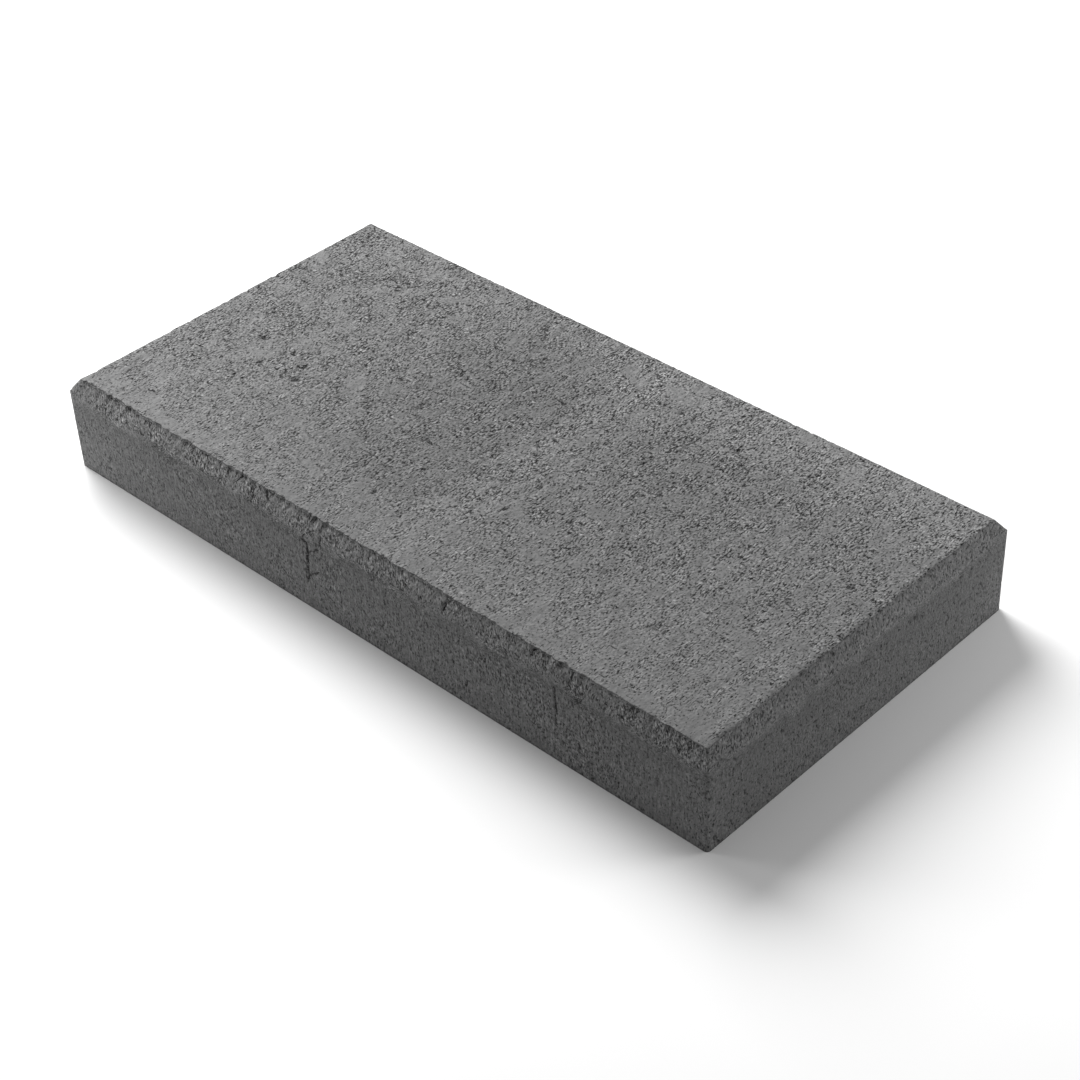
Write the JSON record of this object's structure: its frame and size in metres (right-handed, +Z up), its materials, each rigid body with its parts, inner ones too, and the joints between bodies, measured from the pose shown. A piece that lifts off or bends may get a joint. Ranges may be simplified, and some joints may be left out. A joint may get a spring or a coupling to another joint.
{
  "type": "concrete paving stone",
  "caption": "Rectangular charcoal concrete paving stone with a bevelled top arris and a pitted, sand-textured tread face, laid flat on a bed as paving.",
  "frame": {"origin": "centre of the bed face, on the surface that the stone lies on", "axes": "+X along the length, +Y across the width, +Z up to the tread face"},
  "size_m": [0.4, 0.2, 0.05],
  "materials": {
    "charcoal_concrete": "matt dry-pressed concrete, through-coloured charcoal, pitted tread face and smoother struck sides"
  },
  "bodies": {
    "root": {"paving_stone": "charcoal_concrete"}
  },
  "joints": []
}
